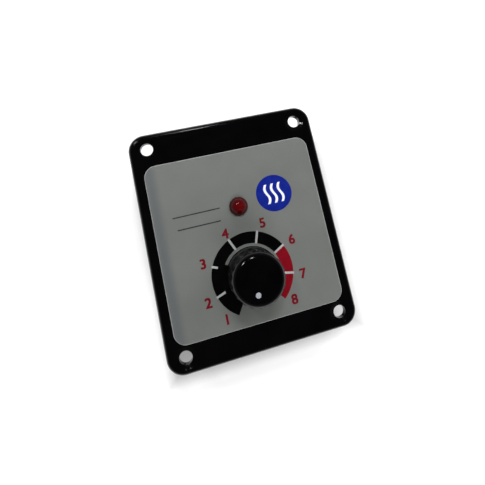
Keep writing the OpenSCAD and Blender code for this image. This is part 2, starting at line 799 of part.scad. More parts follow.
module timer_ic() {
    color("#1b1b1d") {
        translate([ic_at.x, ic_at.y, board_back_z - ic_lift]) difference() {
            block(ic_size.x, ic_size.y, -ic_size.z, 0);
            translate([0, ic_size.y / 2, -ic_size.z]) post(2 * ic_notch_r, -1, ic_notch_depth);
        }
        for (p = ic_leads()) translate([(p.x + ic_at.x + sign(p.x - ic_at.x) * ic_size.x / 2) / 2, p.y])
            block((ic_row_pitch - ic_size.x) / 2 + lead_d, lead_d, ic_pin_z, ic_pin_z + ic_pin_t);
        leads(ic_leads(), ic_pin_z);
    }
}

module driver_transistor() {
    color("#202022") {
        translate([transistor_at.x, transistor_at.y, board_back_z - transistor_lift - transistor_h])
            linear_extrude(transistor_h) difference() {
                circle(transistor_r);
                translate([-transistor_r, -2 * transistor_r - transistor_flat]) square(2 * transistor_r);
            }
        leads(transistor_leads(), board_back_z - transistor_lift - eps);
    }
}

// Component that lies along X on two bent leads
module axial_part(at, d, l) {
    axis_z = board_back_z - d / 2 - axial_lift;
    translate([at.x, at.y, axis_z]) rotate([0, 90, 0]) {
        cylinder(d = d, h = l, center = true);
        cylinder(d = axial_wire_d, h = axial_pitch + axial_wire_d, center = true);
    }
    leads(pair(at, axial_pitch), axis_z);
}

module rectifier_diodes() {
    color("#1c1c1c") for (p = diode_places()) axial_part(p, diode_d, diode_l);
}

module resistors() {
    color("#c9b489") for (p = resistor_places()) axial_part(p, resistor_d, resistor_l);
}

// ---- Terminals ----

module terminal_block() {
    color("#e6e2d6") difference() {
        translate([0, block_y]) block(block_w, block_t, board_back_z - block_h, board_back_z);
        for (p = blade_places()) translate(p)
            block(blade_t + 2 * fit_gap, blade_w + 2 * fit_gap, board_back_z - block_h - 1, board_back_z + 1);
    }
}

// Blades with a coned tip and a lock hole, on two feet through the board
module blade_terminals() {
    color("#c8b060") {
        for (p = blade_places()) translate([p.x, p.y, board_back_z]) rotate([90, 0, 90])
            linear_extrude(blade_t, center = true) blade_outline();
        leads(blade_feet(), board_back_z - eps);
    }
}

module blade_outline() {
    tip = board_back_z - blade_tip_z;
    difference() {
        polygon([[-blade_w / 2, 0], [-blade_w / 2, blade_chamfer - tip], [blade_chamfer - blade_w / 2, -tip],
            [blade_w / 2 - blade_chamfer, -tip], [blade_w / 2, blade_chamfer - tip], [blade_w / 2, 0]]);
        translate([0, blade_hole_inset - tip]) circle(d = blade_hole_d);
    }
}

// ---- Rear cover ----

module rear_cover() {
    color("#18181a") difference() {
        union() {
            cover_shell();
            at_corners(tube_pitch) post(tube_d, cover_base_t - eps, tube_top_z);
        }
        at_corners(tube_pitch) {
            post(head_hole_d, -1, tube_shelf_z);
            post(screw_hole_d, tube_shelf_z - 1, tube_top_z + 1);
        }
        translate([0, block_y]) block(window_w, window_h, -1, cover_base_t + 1);
        vents();
    }
}

module cover_shell() {
    difference() {
        translate([0, 0, back_z]) mirror([0, 0, 1])
            soft_slab(cover_w, cover_h, cover_depth, cover_corner_r, cover_edge_r);
        translate([0, 0, cover_base_t]) linear_extrude(cover_depth)
            round_rect(cover_w - 2 * cover_wall, cover_h - 2 * cover_wall, cover_corner_r - cover_wall);
    }
}

module vents() {
    for (i = [0 : side_vents - 1]) translate([0, (i - (side_vents - 1) / 2) * vent_pitch, vent_z])
        rotate([90, 0, 90]) linear_extrude(cover_w + 2, center = true) slot(vent_w, vent_l);
    for (i = [0 : end_vents - 1]) translate([(i - (end_vents - 1) / 2) * vent_pitch, -cover_h / 2, vent_z])
        rotate([90, 0, 0]) linear_extrude(4 * cover_wall, center = true) slot(vent_w, vent_l);
}

// Upright slot with round ends
module slot(w, l) {
    square([w, l - w], center = true);
    for (s = [-1, 1]) translate([0, s * (l - w) / 2]) circle(d = w);
}

module cover_screws() {
    color("#b9b9b6") at_corners(tube_pitch)
        pan_screw(tube_shelf_z, tube_top_z - tube_shelf_z + screw_grip);
}

faceplate();
scale_label();
lamp_lens();
lamp_leads();
lamp_spacer();
knob();
knob_insert();
knob_grub_screw();
knob_marker();
pot_nut();
pot_lock_washer();
pot_bush();
pot_can();
pot_track_wafer();
pot_terminals();
pot_shaft();
pot_shaft_clip();
pot_wiper();
circuit_board();
board_screws();
relay();
film_capacitor();
smoothing_capacitor();
timing_capacitor();
timer_ic();
driver_transistor();
rectifier_diodes();
resistors();
terminal_block();
blade_terminals();
rear_cover();
cover_screws();
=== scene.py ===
"""Looks of the timer and lamp panel of an impulse heat sealer.

The panel lies face up on its rear cover. Sizes are in millimetres until a piece is
finished, and +X is the panel's right, +Y its top and +Z points out of its front.
"""

import math

import bmesh
import bpy
from mathutils import Matrix, Vector


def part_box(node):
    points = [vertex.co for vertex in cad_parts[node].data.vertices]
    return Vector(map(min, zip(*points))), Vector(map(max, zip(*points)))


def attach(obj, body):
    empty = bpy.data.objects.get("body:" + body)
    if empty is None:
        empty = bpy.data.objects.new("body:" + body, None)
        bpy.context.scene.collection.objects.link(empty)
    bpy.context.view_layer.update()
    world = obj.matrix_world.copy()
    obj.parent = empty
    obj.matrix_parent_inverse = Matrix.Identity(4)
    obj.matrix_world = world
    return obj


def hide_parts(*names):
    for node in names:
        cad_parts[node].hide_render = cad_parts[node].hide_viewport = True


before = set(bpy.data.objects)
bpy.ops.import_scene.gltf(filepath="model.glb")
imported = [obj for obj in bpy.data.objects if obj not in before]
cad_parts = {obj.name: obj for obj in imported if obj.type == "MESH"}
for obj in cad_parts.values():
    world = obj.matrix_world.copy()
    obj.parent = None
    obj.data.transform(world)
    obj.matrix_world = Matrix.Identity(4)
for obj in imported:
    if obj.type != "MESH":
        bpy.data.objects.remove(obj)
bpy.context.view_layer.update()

MM = 0.001


# ---- Sizes ----

def foot(node):
    """Lowest level of a node of the solid model."""
    return round(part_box(node)[0].z / MM, 3)


def top(node):
    """Highest level of a node of the solid model."""
    return round(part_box(node)[1].z / MM, 3)


def outline(node):
    """Width and height of a node, seen from the front."""
    low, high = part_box(node)
    return round((high.x - low.x) / MM, 3), round((high.y - low.y) / MM, 3)


# How far a cutting tool reaches past its cut, how far a joined shape sinks in, and the play of what fits in
PAST = 1.0
SINK = 0.2
FIT = 0.05

# Levels above the ground
BACK_Z = top("rear_cover")
FACE_Z = top("faceplate")
LABEL_Z = top("scale_label")
KNOB_Z = foot("knob")

# Faceplate and its dished mounting holes, whose rounded lip runs out and up from the dish's edge
PLATE = outline("faceplate")
PLATE_CORNER = 6.8
PLATE_EDGE = 2.0
HOLE_PITCH = (65.0, 84.0)
HOLE_R = 2.6
DISH_R = 4.2
DISH_DEPTH = 0.7
LIP = ((-0.35, -0.12), (0.0, -0.02), (0.3, 0.2))

# Behind the faceplate: posts that carry the board, and bosses for the cover's screws with ribs that centre it
POST_PITCH = (49.0, 43.0)
POST_R = 3.2
POST_FOOT_Z = foot("faceplate")
BOSS_PITCH = (52.0, 60.0)
BOSS_R = 3.5
BOSS_FOOT_Z = 24.0
PILOT_R = 1.35
PILOT_DEPTH = 7.0
RIB_H = 3.5
RIB_T = 1.6
COVER_INSIDE = (59.9, 67.9)
RIB_RUN = (41.6, 49.6)

# Lamp
LAMP_AT = (0.0, 10.6)
LAMP_R = 3.9
LAMP_FLANGE_R = 4.7
LAMP_FOOT_Z = foot("lamp_lens")
LAMP_TIP_Z = top("lamp_lens")
LAMP_DOME = 2.8

# Dial: its axis, the angle in degrees that it rests at, the potentiometer's bush and the slot for its key
DIAL_AT = (0.0, -17.5)
DIAL_START = 17.5
BUSH_R = 4.0
KEY_SLOT = (2.5, 1.3)
KEY_DEPTH = 1.45
KEY_REACH = 8.6

# Scale label
LABEL = outline("scale_label")
LABEL_DROP = 1.4
LABEL_CORNER = 5.0
LABEL_EDGE = 0.5

# Printed ring. Its angles are in degrees clockwise from the bottom: its start, where black meets red, and
# its end. Joined bands lap over each other a little.
INK = 0.04
RING_IN = 12.2
RING_OUT = 17.0
RING_ENDS = (32.0, 241.3, 320.5)
LAP = 2.0

# On its first stretch the black runs on inwards under the knob, and its inmost part goes all the way round as
# a painted shadow at the knob's foot
WIDE_END = 121.0
WIDE_IN = 9.0
WIDE_RIM = 10.95

# Ticks: the angle of each and the radius that it starts from, then their width and how far they run over
TICKS = {71.0: 13.3, 112.7: 14.8, 155.7: RING_IN, 198.4: RING_IN, 241.3: RING_IN, 283.2: RING_IN}
TICK_W = 0.9
TICK_OVER = (0.1, 0.3)

# Figures, and how far apart the light ones lie that make a bold one
FIGURES = {"1": (-14.0, -32.2), "2": (-20.0, -24.2), "3": (-19.1, -8.9), "4": (-7.9, 0.8),
           "5": (8.3, 1.6), "6": (19.1, -7.9), "7": (20.6, -22.7), "8": (14.6, -31.8)}
FIGURE_H = 4.1
BOLD = (0.34, 0.28)

# Heat sign: a disc with three wavy strokes
DISC_AT = (16.1, 12.7)
DISC_R = 7.8
STROKE_H = 8.4
STROKE_W = 1.1
STROKE_SWING = 0.75
STROKE_PITCH = 3.0

# Rules: the length and the middle of each
RULES = ((19.6, (-17.6, 11.6)), (17.8, (-17.4, 6.4)))
RULE_T = 0.5

# Knob: its outside, with a dished top, and the hollow with the seat of its insert
KNOB_FOOT_R = 10.7
KNOB_TOP_R = 10.5
KNOB_H = top("knob") - KNOB_Z
KNOB_RIM = 3.2
KNOB_FOOT_ROUND = 0.3
KNOB_DISH = 0.5
DISH_EASE = (0.12, 0.03)
HOLLOW_R = 8.2
INSERT_R = 5.0
INSERT_FLANGE_R = 5.5
INSERT_FLANGE_T = 0.8
INSERT_Z = foot("knob_insert")
INSERT_TOP_Z = top("knob_insert")

# Grip flutes, above a plain band: they run out over a short height, and their edges are soft
FLUTES = 20
KNOB_BAND = 5.5
FLUTE_R = 2.6
FLUTE_DEPTH = 0.4
FLUTE_RUN_OUT = 0.9
FLUTE_SOFT = 0.22

# Marker dot and grub screw
MARKER_AT = (0.0, -5.4)
MARKER_R = 1.05
MARKER_TOP_Z = top("knob_marker")
MARKER_T = 0.8
MARKER_ROUND = 0.15
GRUB_Z = (INSERT_Z + INSERT_TOP_Z) / 2
GRUB_R = 1.55
GRUB_FROM = 4.0


# ---- Shaping ----

def block(size, centre, turn=0.0):
    """A block, turned about its own upright axis before it is set in place."""
    shape = bmesh.new()
    bmesh.ops.create_cube(shape, size=1)
    bmesh.ops.scale(shape, vec=size, verts=shape.verts)
    bmesh.ops.rotate(shape, cent=(0, 0, 0), matrix=Matrix.Rotation(turn, 3, "Z"), verts=shape.verts)
    bmesh.ops.translate(shape, vec=centre, verts=shape.verts)
    return shape


def slab(size, z0, z1, corner, edge, at=(0.0, 0.0), segments=6):
    """A plate with round corners and a rounded front edge."""
    shape = block((size[0], size[1], z1 - z0), (at[0], at[1], (z0 + z1) / 2))
    upright = [e for e in shape.edges if abs(e.verts[0].co.z - e.verts[1].co.z) > 0.1]
    bmesh.ops.bevel(shape, geom=upright, offset=corner, offset_type="OFFSET", segments=20,
                    profile=0.5, affect="EDGES", material=-1)
    front = [e for e in shape.edges if min(v.co.z for v in e.verts) > z1 - 1e-4]
    bmesh.ops.bevel(shape, geom=front, offset=edge, offset_type="OFFSET", segments=segments,
                    profile=0.5, affect="EDGES", material=-1)
    return shape


def turned(section, at=(0.0, 0.0), steps=96):
    """A solid of revolution about an upright axis, from half of its section."""
    shape = bmesh.new()
    points = [shape.verts.new((r, 0, z)) for r, z in section]
    for first, second in zip(points, points[1:]):
        shape.edges.new((first, second))
    bmesh.ops.spin(shape, geom=shape.verts[:] + shape.edges[:], cent=(0, 0, 0), axis=(0, 0, 1),
                   angle=math.tau, steps=steps, use_merge=True)
    bmesh.ops.remove_doubles(shape, verts=shape.verts, dist=1e-4)
    bmesh.ops.recalc_face_normals(shape, faces=shape.faces)
    bmesh.ops.translate(shape, vec=(at[0], at[1], 0), verts=shape.verts)
    return shape


def arc(centre, radius, start, end, count):
    """Points of a half section along an arc, with its angles in degrees."""
    angles = [math.radians(start + (end - start) * i / count) for i in range(count + 1)]
    return [(centre[0] + radius * math.cos(a), centre[1] + radius * math.sin(a)) for a in angles]


def cap_radius(reach, rise):
    """Radius of the sphere whose cap has a given half width and rise."""
    return (reach ** 2 + rise ** 2) / (2 * rise)


def cylinder(radius, z0, z1, at, steps=64):
    return turned([(0, z0), (radius, z0), (radius, z1), (0, z1)], at, steps)


def corners(pitch):
    """The four corners of a pattern about the middle."""
    return [(x * pitch[0] / 2, y * pitch[1] / 2) for x in (-1, 1) for y in (-1, 1)]


def together(shapes):
    """Puts separate shapes into one, which then cuts or joins in one go."""
    whole = bmesh.new()
    for shape in shapes:
        mesh = bpy.data.meshes.new("part")
        shape.to_mesh(mesh)
        shape.free()
        whole.from_mesh(mesh)
        bpy.data.meshes.remove(mesh)
    return whole


def plain_object(name, shape):
    """Hands a shape over to an object without a finish."""
    mesh = bpy.data.meshes.new(name)
    shape.to_mesh(mesh)
    shape.free()
    piece = bpy.data.objects.new(name, mesh)
    bpy.context.scene.collection.objects.link(piece)
    return piece


def machined(shape, tools, operation, solver="EXACT"):
    """Cuts the tools out of a shape, or joins them to it."""
    work = plain_object("work", shape)
    tool = plain_object("tool", tools)
    cut = work.modifiers.new("cut", "BOOLEAN")
    cut.operation = operation
    cut.solver = solver
    cut.object = tool
    bpy.context.view_layer.update()
    mesh = bpy.data.meshes.new_from_object(work.evaluated_get(bpy.context.evaluated_depsgraph_get()))
    result = bmesh.new()
    result.from_mesh(mesh)
    for old in (work, tool):
        bpy.data.objects.remove(old)
    bpy.data.meshes.remove(mesh)
    return result


def finished(name, shape, body, material, stands_for=(), sharp=30.0, weighted=False):
    """Makes a shape a piece in metres, gives it its finish and lets it ride on its body."""
    bmesh.ops.scale(shape, vec=(MM, MM, MM), verts=shape.verts)
    bmesh.ops.remove_doubles(shape, verts=shape.verts, dist=1e-7)
    bmesh.ops.recalc_face_normals(shape, faces=shape.faces)
    for face in shape.faces:
        face.smooth = True
        face.material_index = 0
    piece = plain_object(name, shape)
    piece.data.set_sharp_from_angle(angle=math.radians(sharp))
    piece.data.materials.clear()
    piece.data.materials.append(material)
    if weighted:
        even = piece.modifiers.new("even normals", "WEIGHTED_NORMAL")
        even.mode = "FACE_AREA"
        even.keep_sharp = True
    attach(piece, body)
    if stands_for:
        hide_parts(*stands_for)
    return piece


# ---- Finishes ----

def linear(code):
    """An sRGB hex colour as the linear values that a shader takes."""
    shares = [int(code[i:i + 2], 16) / 255 for i in (1, 3, 5)]
    return tuple(c / 12.92 if c <= 0.04045 else ((c + 0.055) / 1.055) ** 2.4 for c in shares) + (1.0,)


def add(tree, kind, settings=None, links=None):
    """Adds a node, with its settings and with what is linked to its inputs."""
    node = tree.nodes.new("ShaderNode" + kind)
    for key, value in (settings or {}).items():
        if isinstance(key, str) and key.islower():
            setattr(node, key, value)
        else:
            node.inputs[key].default_value = value
    for key, output in (links or {}).items():
        tree.links.new(output, node.inputs[key])
    return node


def new_material(name, settings):
    """An empty finish, with its shader and the place on the object that its patterns read."""
    material = bpy.data.materials.new(name)
    material.use_nodes = True
    tree = material.node_tree
    tree.nodes.clear()
    shader = add(tree, "BsdfPrincipled", settings)
    add(tree, "OutputMaterial", links={"Surface": shader.outputs["BSDF"]})
    place = add(tree, "TexCoord").outputs["Object"]
    return material, tree, shader, place


def per_mm(size):
    """Scale of a noise whose features are this many millimetres across."""
    return 1 / (size * MM)


def moulded(name, dark, light, roughness, grain, depth, settings=None):
    """Moulded plastic: cloudy colour over 9 mm, and a grain that spreads the gloss."""
    material, tree, shader, place = new_material(name, settings or {})
    cloud = add(tree, "TexNoise", {"Scale": per_mm(9), "Detail": 3.0}, {"Vector": place})
    colour = add(tree, "ValToRGB", links={0: cloud.outputs["Fac"]})
    colour.color_ramp.elements[0].position = 0.3
    colour.color_ramp.elements[0].color = linear(dark)
    colour.color_ramp.elements[1].position = 0.7
    colour.color_ramp.elements[1].color = linear(light)
    skin = add(tree, "TexNoise", {"Scale": per_mm(grain), "Detail": 4.0}, {"Vector": place})
    gloss = add(tree, "MapRange", {"To Min": roughness * 0.8, "To Max": roughness * 1.25},
                {"Value": skin.outputs["Fac"]})
    relief = add(tree, "Bump", {"Strength": 1.0, "Distance": depth * MM}, {"Height": skin.outputs["Fac"]})
    tree.links.new(colour.outputs["Color"], shader.inputs["Base Color"])
    tree.links.new(gloss.outputs["Result"], shader.inputs["Roughness"])
    tree.links.new(relief.outputs["Normal"], shader.inputs["Normal"])
    return material


def metal(name, dark, light, roughness, grain, stretch):
    """Bare or plated metal: streaks of the given width, drawn out along the stretched axis."""
    material, tree, shader, place = new_material(name, {"Metallic": 1.0})
    drawn = add(tree, "Mapping", {"Scale": stretch}, {"Vector": place})
    streak = add(tree, "TexNoise", {"Scale": per_mm(grain), "Detail": 5.0},
                 {"Vector": drawn.outputs["Vector"]})
    colour = add(tree, "ValToRGB", links={0: streak.outputs["Fac"]})
    colour.color_ramp.elements[0].position = 0.25
    colour.color_ramp.elements[0].color = linear(dark)
    colour.color_ramp.elements[1].position = 0.75
    colour.color_ramp.elements[1].color = linear(light)
    gloss = add(tree, "MapRange", {"To Min": roughness * 0.7, "To Max": roughness * 1.3},
                {"Value": streak.outputs["Fac"]})
    relief = add(tree, "Bump", {"Strength": 0.6, "Distance": 0.01 * MM}, {"Height": streak.outputs["Fac"]})
    tree.links.new(colour.outputs["Color"], shader.inputs["Base Color"])
    tree.links.new(gloss.outputs["Result"], shader.inputs["Roughness"])
    tree.links.new(relief.outputs["Normal"], shader.inputs["Normal"])
    return material


def printed(name, solid, thin, roughness):
    """Screen-printed ink: slightly uneven in strength, with the mesh's fine texture of 0.25 mm."""
    material, tree, shader, place = new_material(name, {"Specular IOR Level": 0.2})
    lay = add(tree, "TexNoise", {"Scale": per_mm(2.5), "Detail": 2.0}, {"Vector": place})
    colour = add(tree, "ValToRGB", links={0: lay.outputs["Fac"]})
    colour.color_ramp.elements[0].position = 0.35
    colour.color_ramp.elements[0].color = linear(solid)
    colour.color_ramp.elements[1].position = 0.8
    colour.color_ramp.elements[1].color = linear(thin)
    mesh = add(tree, "TexNoise", {"Scale": per_mm(0.25), "Detail": 1.0}, {"Vector": place})
    gloss = add(tree, "MapRange", {"To Min": roughness * 0.8, "To Max": roughness * 1.2},
                {"Value": mesh.outputs["Fac"]})
    relief = add(tree, "Bump", {"Strength": 0.5, "Distance": 0.01 * MM}, {"Height": mesh.outputs["Fac"]})
    tree.links.new(colour.outputs["Color"], shader.inputs["Base Color"])
    tree.links.new(gloss.outputs["Result"], shader.inputs["Roughness"])
    tree.links.new(relief.outputs["Normal"], shader.inputs["Normal"])
    return material


# Polished ABS moulding: jet black and mirror-like, with a faint waviness of the moulded skin
faceplate_abs = moulded("polished black ABS", "#020203", "#040405", 0.12, 2.4, 0.002,
                        {"IOR": 1.5, "Specular IOR Level": 0.28})

# Spark-eroded ABS moulding: a dull black with a fine even grain
cover_abs = moulded("spark-eroded black ABS", "#08080a", "#0f0f12", 0.45, 0.35, 0.03,
                    {"IOR": 1.5})

# Moulded white plastic: satin, and greyed by handling
marker_white = moulded("moulded white styrene", "#8b8e95", "#9a9da4", 0.5, 0.8, 0.003)

# Natural nylon: milky, waxy and a little see-through
natural_nylon = moulded("natural nylon", "#d9d5c6", "#e6e2d6", 0.42, 0.9, 0.01,
                        {"Subsurface Weight": 0.15, "Subsurface Radius": (0.001, 0.0009, 0.0007)})

# Pressed phenolic paper laminate: a warm brown board
phenolic_paper = moulded("phenolic paper laminate", "#5a3a1e", "#6b4726", 0.55, 0.6, 0.01)

# Moulded polyester case: blue-black and satin
relay_polyester = moulded("moulded dark blue polyester", "#15233f", "#1b2c4c", 0.35, 0.5, 0.01)

# Dipped and moulded polypropylene film capacitor: mustard yellow and satin
film_case = moulded("moulded yellow polypropylene", "#b98a1c", "#c89a2a", 0.4, 0.6, 0.01)

# Moulded epoxy: charcoal and matt
moulded_epoxy = moulded("moulded charcoal epoxy", "#17171a", "#1f1f22", 0.55, 0.3, 0.01)

# Drawn copper wire with a tin coat: pale and soft
tinned_wire = metal("tinned copper wire", "#b9bab8", "#d2d3d0", 0.32, 0.3, (1, 1, 0.2))

# Turned brass: warm yellow, with rings from the lathe
turned_brass = metal("turned brass", "#a8823a", "#c9a458", 0.28, 0.2, (0.15, 0.15, 1))

# Blackened steel: dark, with an oily gloss
blackened_steel = metal("blackened steel", "#1e1f21", "#2c2d30", 0.35, 0.3, (1, 1, 1))

# Zinc-plated steel: bright and slightly blue, with a soft crystalline mottling
zinc_plated = metal("bright zinc-plated steel", "#a9adb2", "#c9cdd1", 0.3, 0.8, (1, 1, 1))

# Die-cast zinc: grey and frosted
cast_zinc = metal("die-cast zinc", "#8d9093", "#a6a9ab", 0.45, 0.5, (1, 1, 1))

# Tin-plated brass strip: pale gold showing through, with rolling lines
tinned_brass = metal("tin-plated brass strip", "#b5b09c", "#d0cbb8", 0.3, 0.3, (1, 1, 0.1))

# Turned aluminium: pale, with fine lathe rings
turned_aluminium = metal("turned aluminium", "#b4b6b8", "#d4d6d8", 0.3, 0.15, (0.1, 0.1, 1))

# Spring steel: dark grey and polished
spring_steel = metal("polished spring steel", "#6b6e72", "#85888c", 0.25, 0.3, (1, 1, 1))


def knob_phenolic():
    """Black phenolic moulding: polished on its shoulder and top, and rubbed duller on the sides."""
    material, tree, shader, place = new_material(
        "black phenolic moulding", {"IOR": 1.5, "Specular IOR Level": 0.25})
    cloud = add(tree, "TexNoise", {"Scale": per_mm(7), "Detail": 3.0}, {"Vector": place})
    colour = add(tree, "ValToRGB", links={0: cloud.outputs["Fac"]})
    colour.color_ramp.elements[0].position = 0.3
    colour.color_ramp.elements[0].color = linear("#010102")
    colour.color_ramp.elements[1].position = 0.7
    colour.color_ramp.elements[1].color = linear("#040405")
    apart = add(tree, "SeparateXYZ", links={"Vector": place})
    shoulder_z = KNOB_Z + KNOB_H - KNOB_RIM
    polish = add(tree, "MapRange", {"From Min": (shoulder_z - 3) * MM, "From Max": shoulder_z * MM,
                                    "To Min": 0.38, "To Max": 0.1}, {"Value": apart.outputs["Z"]})
    skin = add(tree, "TexNoise", {"Scale": per_mm(1.5), "Detail": 4.0}, {"Vector": place})
    uneven = add(tree, "MapRange", {"To Min": 0.8, "To Max": 1.2}, {"Value": skin.outputs["Fac"]})
    gloss = add(tree, "Math", {"operation": "MULTIPLY"},
                {0: polish.outputs["Result"], 1: uneven.outputs["Result"]})
    relief = add(tree, "Bump", {"Strength": 1.0, "Distance": 0.002 * MM}, {"Height": skin.outputs["Fac"]})
    tree.links.new(colour.outputs["Color"], shader.inputs["Base Color"])
    tree.links.new(gloss.outputs["Value"], shader.inputs["Roughness"])
    tree.links.new(relief.outputs["Normal"], shader.inputs["Normal"])
    return material


def label_lacquer():
    """Silver-grey metallic lacquer: satin, with 0.12 mm flakes that glint a little.

    Along its left edge a painted shade makes it cooler and darker, and a painted highlight lightens it where
    its rim is rounded.
    """
    material, tree, shader, place = new_material(
        "screen-printed silver-grey lacquer", {"Metallic": 0.35, "Specular IOR Level": 0.3})
    flake = add(tree, "TexVoronoi", {"Scale": per_mm(0.12)}, {"Vector": place})
    cloud = add(tree, "TexNoise", {"Scale": per_mm(14), "Detail": 2.0}, {"Vector": place})
    speck = add(tree, "SeparateColor", links={"Color": flake.outputs["Color"]})
    tone = add(tree, "MapRange", {"To Min": 0.35, "To Max": 0.65}, {"Value": speck.outputs["Red"]})
    mixed = add(tree, "Math", {"operation": "ADD"}, {0: tone.outputs["Result"], 1: cloud.outputs["Fac"]})
    halved = add(tree, "Math", {"operation": "MULTIPLY", 1: 0.5}, {0: mixed.outputs["Value"]})
    colour = add(tree, "ValToRGB", links={0: halved.outputs["Value"]})
    colour.color_ramp.elements[0].position = 0.3
    colour.color_ramp.elements[0].color = linear("#737672")
    colour.color_ramp.elements[1].position = 0.7
    colour.color_ramp.elements[1].color = linear("#7e817d")
    # Painted shade: a cool, darker band along the left edge
    apart = add(tree, "SeparateXYZ", links={"Vector": place})
    band_w = 6
    inward = add(tree, "MapRange", {"From Min": -LABEL[0] / 2 * MM, "From Max": (band_w - LABEL[0] / 2) * MM},
                 {"Value": apart.outputs["X"]})
    strength = add(tree, "ValToRGB", links={0: inward.outputs["Result"]})
    strength.color_ramp.interpolation = "EASE"
    strength.color_ramp.elements[0].color = (0.4, 0.4, 0.4, 1)
    strength.color_ramp.elements[1].color = (0, 0, 0, 1)
    strength.color_ramp.elements.new(0.35).color = (0.7, 0.7, 0.7, 1)
    left_edge_shade_paint = add(tree, "Mix", {"data_type": "RGBA", 7: linear("#63676b")},
                 {0: strength.outputs["Color"], 6: colour.outputs["Color"]})
    # Painted highlight: lighter where the rounded rim tilts away from the face
    normal = add(tree, "TexCoord").outputs["Normal"]
    lean = add(tree, "SeparateXYZ", links={"Vector": normal})
    rim = add(tree, "MapRange", {"From Min": 0.985, "From Max": 0.75, "To Max": 0.9},
              {"Value": lean.outputs["Z"]})
    rim_highlight_paint = add(tree, "Mix", {"data_type": "RGBA", 7: linear("#d2d4d1")},
               {0: rim.outputs["Result"], 6: left_edge_shade_paint.outputs[2]})
    gloss = add(tree, "MapRange", {"To Min": 0.38, "To Max": 0.5}, {"Value": speck.outputs["Green"]})
    relief = add(tree, "Bump", {"Strength": 0.4, "Distance": 0.01 * MM}, {"Height": speck.outputs["Blue"]})
    tree.links.new(rim_highlight_paint.outputs[2], shader.inputs["Base Color"])
    tree.links.new(gloss.outputs["Result"], shader.inputs["Roughness"])
    tree.links.new(relief.outputs["Normal"], shader.inputs["Normal"])
    return material


def lamp_polycarbonate():
    """Tinted polycarbonate: dark red and glassy, with a painted shade that darkens it towards its rim."""
    material, tree, shader, place = new_material(
        "tinted red polycarbonate", {"Roughness": 0.07, "IOR": 1.58, "Specular IOR Level": 0.32})
    middle = add(tree, "Mapping", {"Location": (-LAMP_AT[0] * MM, -LAMP_AT[1] * MM, 0), "Scale": (1, 1, 0)},
                 {"Vector": place})
    reach = add(tree, "VectorMath", {"operation": "LENGTH"}, {0: middle.outputs["Vector"]})
    share = add(tree, "MapRange", {"From Max": LAMP_R * MM}, {"Value": reach.outputs["Value"]})
    cloud = add(tree, "TexNoise", {"Scale": per_mm(1.5)}, {"Vector": place})
    blur = add(tree, "MapRange", {"To Min": -0.08, "To Max": 0.08}, {"Value": cloud.outputs["Fac"]})
    depth = add(tree, "Math", {"operation": "ADD"}, {0: share.outputs["Result"], 1: blur.outputs["Result"]})
    # Painted shade: the red grows darker from the middle out to the rim
    colour = add(tree, "ValToRGB", links={0: depth.outputs["Value"]})
    colour.color_ramp.elements[0].position = 0.35
    colour.color_ramp.elements[0].color = linear("#500507")
    colour.color_ramp.elements[1].position = 1.0
    colour.color_ramp.elements[1].color = linear("#330304")
    tree.links.new(colour.outputs["Color"], shader.inputs["Base Color"])
    return material


def board_laminate():
    """Green solder resist over copper tracks 0.8 mm wide: satin, a little raised over the copper."""
    material, tree, shader, place = new_material(
        "green solder resist on glass laminate", {"Coat Weight": 0.2})
    tracks = add(tree, "TexBrick", {"offset": 0.5, "squash": 1.0, "Scale": per_mm(4), "Mortar Size": 0.1,
                                    "Color1": linear("#16512c"), "Color2": linear("#195731"),
                                    "Mortar": linear("#2d7a45")}, {"Vector": place})
    weave = add(tree, "TexNoise", {"Scale": per_mm(0.6), "Detail": 2.0}, {"Vector": place})
    gloss = add(tree, "MapRange", {"To Min": 0.28, "To Max": 0.42}, {"Value": weave.outputs["Fac"]})
    relief = add(tree, "Bump", {"Strength": 0.5, "Distance": 0.035 * MM}, {"Height": tracks.outputs["Fac"]})
    tree.links.new(tracks.outputs["Color"], shader.inputs["Base Color"])
    tree.links.new(gloss.outputs["Result"], shader.inputs["Roughness"])
    tree.links.new(relief.outputs["Normal"], shader.inputs["Normal"])
    return material


def capacitor_sleeve(name, end_z):
    """Shrunk PVC sleeve, dark blue and glossy, round a can whose bare aluminium end lies at a height."""
    material, tree, shader, place = new_material(name, {})
    height = add(tree, "SeparateXYZ", links={"Vector": place})
    crease = add(tree, "TexNoise", {"Scale": per_mm(1.2), "Detail": 3.0}, {"Vector": place})
    end = add(tree, "Math", {"operation": "LESS_THAN", 1: (end_z + 0.12) * MM}, {0: height.outputs["Z"]})
    colour = add(tree, "Mix", {"data_type": "RGBA", "A": linear("#17264a"), "B": linear("#b9bcbe")},
                 {"Factor": end.outputs["Value"]})
    gloss = add(tree, "MapRange", {"To Min": 0.22, "To Max": 0.36}, {"Value": crease.outputs["Fac"]})
    tree.links.new(colour.outputs[2], shader.inputs["Base Color"])
    tree.links.new(end.outputs["Value"], shader.inputs["Metallic"])
    tree.links.new(gloss.outputs["Result"], shader.inputs["Roughness"])
    return material


